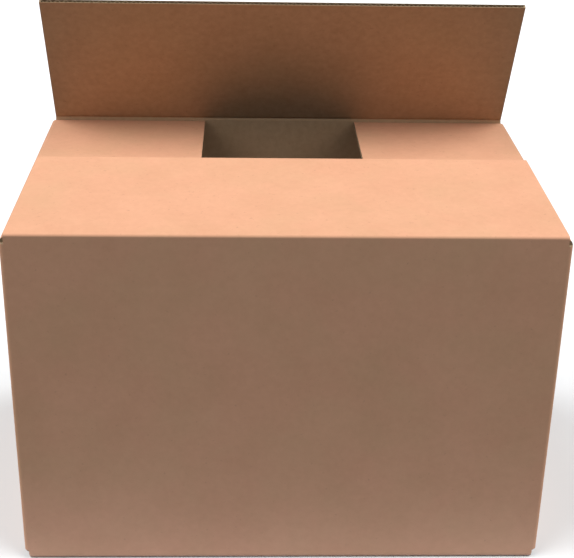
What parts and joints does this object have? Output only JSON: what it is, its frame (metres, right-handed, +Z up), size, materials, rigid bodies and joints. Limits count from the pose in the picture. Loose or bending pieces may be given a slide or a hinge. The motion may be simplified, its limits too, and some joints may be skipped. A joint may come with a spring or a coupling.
{
  "type": "cardboard shipping box",
  "caption": "Regular slotted corrugated cardboard shipping box, bottom taped shut, front top flap folded in and rear top flap standing open on a crease.",
  "frame": {"origin": "middle of the base, on the ground", "axes": "+Z up, +X along the box's length, the front panel faces -Y and the standing rear flap is on the +Y side"},
  "size_m": [0.4652, 0.313, 0.4542],
  "materials": {
    "kraft_board": "unbleached kraft liner, matt",
    "packing_tape": "tan polypropylene film, glossy"
  },
  "bodies": {
    "box": {"box_shell": "kraft_board", "bottom_tape": "packing_tape"},
    "front_flap": {"front_flap": "kraft_board"},
    "rear_flap": {"rear_flap": "kraft_board"}
  },
  "joints": [
    {"name": "front_flap_fold", "type": "hinge", "parent": "box", "child": "front_flap", "pos_m": [0, -0.1565, 0.3191], "axis": [1, 0, 0], "range_deg": [-3.8, 261.2]},
    {"name": "rear_flap_fold", "type": "hinge", "parent": "box", "child": "rear_flap", "pos_m": [0, 0.1565, 0.3191], "axis": [-1, 0, 0], "range_deg": [-60, 205]}
  ]
}
